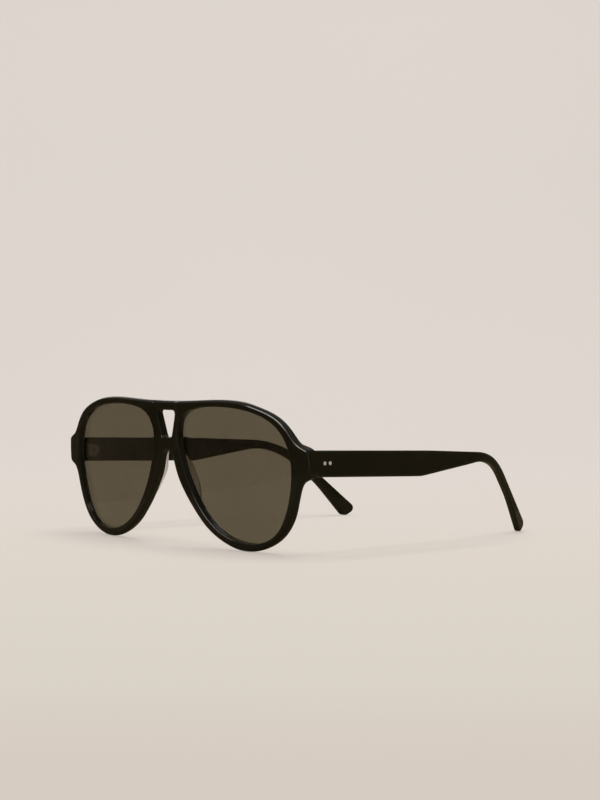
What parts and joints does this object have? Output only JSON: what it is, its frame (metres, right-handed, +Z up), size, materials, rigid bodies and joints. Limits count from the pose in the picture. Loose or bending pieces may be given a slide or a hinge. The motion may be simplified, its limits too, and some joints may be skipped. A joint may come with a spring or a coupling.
{
  "type": "sunglasses",
  "caption": "Acetate aviator sunglasses with a keyhole brow bridge, smoke lenses, clear nose pads and folding riveted temples.",
  "frame": {"origin": "centre of the footprint on the table, glasses standing open on both rims and both temple tips", "axes": "+Z up, -Y the way the lenses look, +X towards the wearer's left"},
  "size_m": [0.145, 0.1513, 0.0564],
  "materials": {
    "acetate": "polished black cellulose acetate",
    "lens": "smooth smoke tint",
    "pad": "polished clear acetate",
    "hinge_metal": "fine satin",
    "screw_metal": "polished",
    "rivet_metal": "polished"
  },
  "bodies": {
    "front": {"front_frame": "acetate", "lens_right": "lens", "lens_left": "lens", "nose_pad_right": "pad", "nose_pad_left": "pad", "front_hinge_right": "hinge_metal", "front_hinge_left": "hinge_metal", "hinge_screw_right": "screw_metal", "hinge_screw_left": "screw_metal"},
    "left_temple": {"temple_left": "acetate", "temple_core_left": "hinge_metal", "temple_hinge_left": "hinge_metal", "temple_rivet_front_left": "rivet_metal", "temple_rivet_rear_left": "rivet_metal"},
    "right_temple": {"temple_right": "acetate", "temple_core_right": "hinge_metal", "temple_hinge_right": "hinge_metal", "temple_rivet_front_right": "rivet_metal", "temple_rivet_rear_right": "rivet_metal"}
  },
  "joints": [
    {"name": "left_temple_fold", "type": "hinge", "parent": "front", "child": "left_temple", "pos_m": [0.06483, -0.06261, 0.0333], "axis": [0, 0, 1], "range_deg": [0, 84]},
    {"name": "right_temple_fold", "type": "hinge", "parent": "front", "child": "right_temple", "pos_m": [-0.06483, -0.06261, 0.0333], "axis": [0, 0, -1], "range_deg": [0, 66]}
  ]
}
